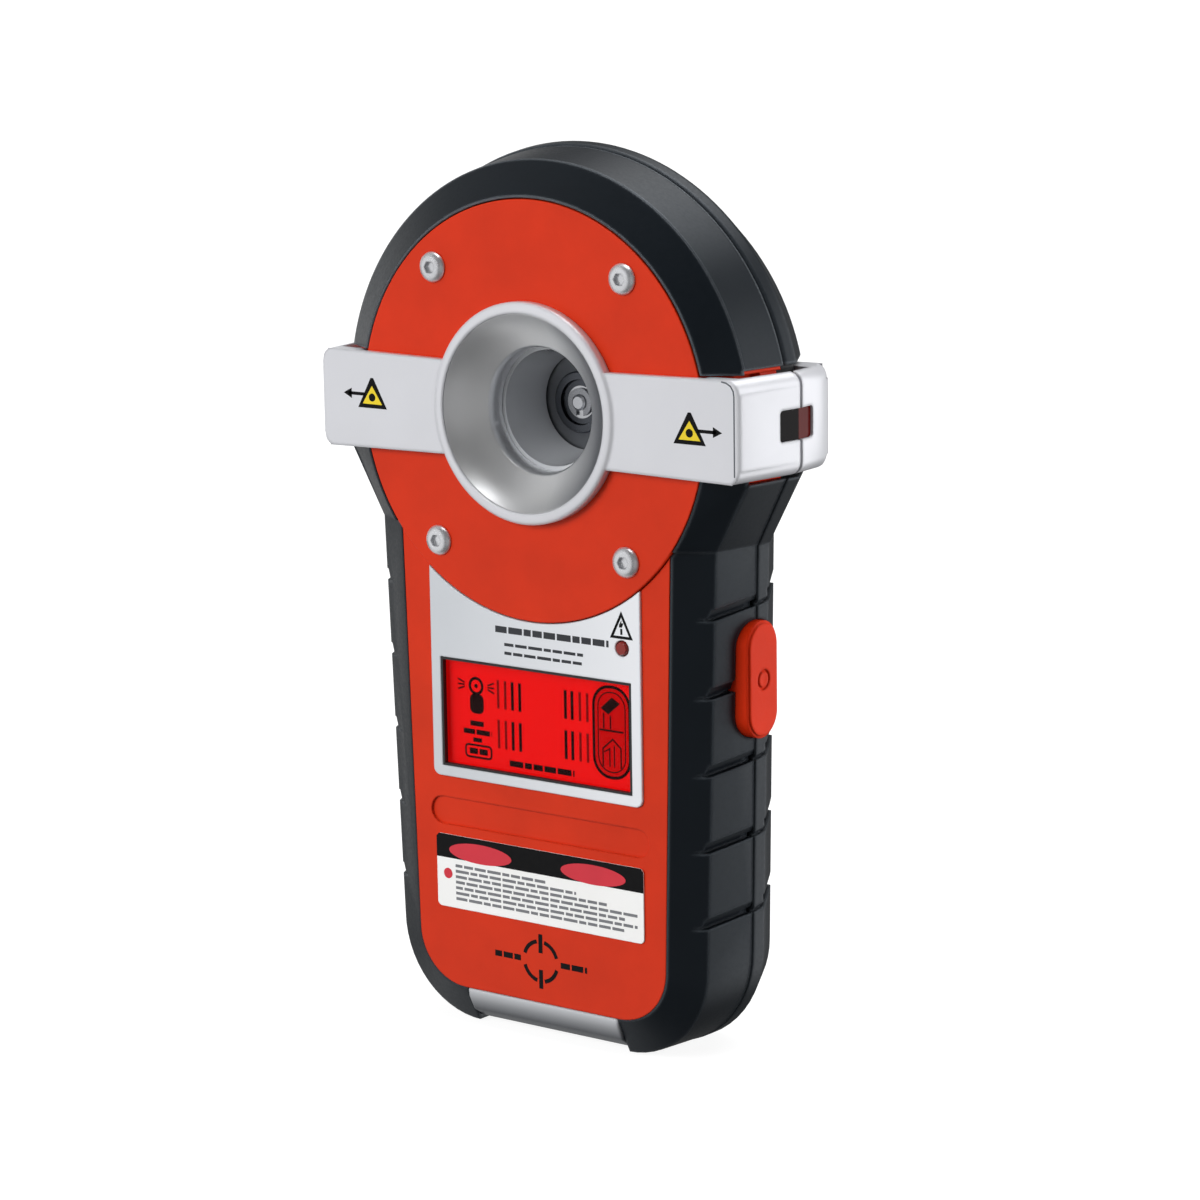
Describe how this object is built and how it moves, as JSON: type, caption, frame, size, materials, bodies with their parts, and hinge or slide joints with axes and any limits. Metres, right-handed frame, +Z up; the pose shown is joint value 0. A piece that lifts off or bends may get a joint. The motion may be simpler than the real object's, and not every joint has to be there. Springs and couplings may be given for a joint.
{
  "type": "stud finder",
  "caption": "Handheld stud finder with a round self-levelling laser head, a silver cross band, a red display, side push buttons and a hinged battery door.",
  "frame": {"origin": "on the hub axis of the round head, at the plane of the rear wall face", "axes": "+Z up towards the top of the head, +X to the right of someone facing the display, +Y out of the back towards the wall; the display faces -Y"},
  "size_m": [0.0978, 0.0282, 0.1642],
  "materials": {
    "orange_housing": "moulded orange plastic, light gloss",
    "black_housing": "fine moulded texture",
    "orange_disc": "smooth orange plastic",
    "screw_steel": "bright button heads",
    "grip_rubber": "soft black overmoulded rubber",
    "silver_band": "satin silver paint",
    "satin_dish": "bead-blasted satin",
    "clear_window": "clear moulded acrylic",
    "red_window": "dark red filter plastic",
    "silver_plate": "satin silver plate",
    "red_lens": "clear red lens",
    "display_glass": "liquid crystal cell",
    "connector_rubber": "layered conducting rubber",
    "backlight_plastic": "diffuser plastic",
    "led_red": "tinted lamp body",
    "label_white": "printed film label",
    "silver_trim": "satin silver",
    "orange_button": "soft-touch orange",
    "switch_plunger": "plain moulded",
    "black_component": "moulded epoxy",
    "board_green": "solder mask",
    "screw_zinc": "zinc plated",
    "copper_foil": null,
    "spindle_steel": "ground steel",
    "spring_steel": "bare spring steel",
    "cast_frame": "die-cast",
    "turned_aluminium": "turned",
    "bearing_steel": "ground bearing steel",
    "brass_weight": "machined",
    "nickel_magnet": "nickel plated",
    "yoke_steel": "pressed steel",
    "brass_barrel": "turned",
    "lens_glass": "polished lens",
    "battery_jacket": "plain printed sleeve",
    "contact_nickel": "nickel-plated strip"
  },
  "bodies": {
    "housing": {"front_shell": "orange_housing", "rear_shell": "black_housing", "face_disc": "orange_disc", "face_screws": "screw_steel", "arch_grip_front": "grip_rubber", "arch_grip_rear": "grip_rubber", "side_grip_front_right": "grip_rubber", "side_grip_front_left": "grip_rubber", "side_grip_rear_right": "grip_rubber", "side_grip_rear_left": "grip_rubber", "band_front": "silver_band", "band_rear": "silver_band", "bullseye_dish": "satin_dish", "bullseye_window": "clear_window", "laser_window_right": "red_window", "laser_window_left": "red_window", "display_plate": "silver_plate", "lcd_gasket": "black_component", "lcd_lens": "red_lens", "lcd_glass": "display_glass", "lcd_connectors": "connector_rubber", "lcd_backlight": "backlight_plastic", "warning_led": "led_red", "info_label": "label_white", "bottom_trim": "silver_trim", "side_switches": "black_component", "switch_boards": "board_green", "main_board": "board_green", "board_screws": "screw_zinc", "control_chip": "black_component", "driver_chip": "black_component", "sounder": "black_component", "sensor_board": "board_green", "sensor_plates": "copper_foil", "spindle": "spindle_steel", "spindle_clip": "spring_steel", "damping_magnets": "nickel_magnet", "magnet_yoke": "yoke_steel", "yoke_screws": "screw_zinc", "housing_screws": "screw_zinc", "batteries": "battery_jacket", "battery_springs": "spring_steel", "battery_contacts": "contact_nickel"},
    "pendulum": {"pendulum_frame": "cast_frame", "pendulum_hub": "turned_aluminium", "pendulum_bearings": "bearing_steel", "pendulum_weight": "brass_weight", "weight_screws": "screw_zinc", "damping_plate": "copper_foil", "laser_module_right": "brass_barrel", "laser_module_left": "brass_barrel", "line_lens_right": "lens_glass", "line_lens_left": "lens_glass"},
    "stud_button": {"stud_button": "orange_button", "stud_switch_plunger": "switch_plunger"},
    "laser_button": {"laser_button": "orange_button", "laser_switch_plunger": "switch_plunger"},
    "battery_door": {"battery_door": "black_housing"}
  },
  "joints": [
    {"name": "pendulum_swing", "type": "hinge", "parent": "housing", "child": "pendulum", "pos_m": [0, 0, 0], "axis": [0, 1, 0], "range_deg": [-3.2, 3.2]},
    {"name": "stud_button_press", "type": "slide", "parent": "housing", "child": "stud_button", "axis": [-1, 0, 0], "range_m": [0, 0.0008], "stiffness_N_per_m": 2500},
    {"name": "laser_button_press", "type": "slide", "parent": "housing", "child": "laser_button", "axis": [1, 0, 0], "range_m": [0, 0.0008], "stiffness_N_per_m": 2500},
    {"name": "battery_door_hinge", "type": "hinge", "parent": "housing", "child": "battery_door", "pos_m": [0, -0.0016, -0.097], "axis": [-1, 0, 0], "range_deg": [0, 75]}
  ]
}
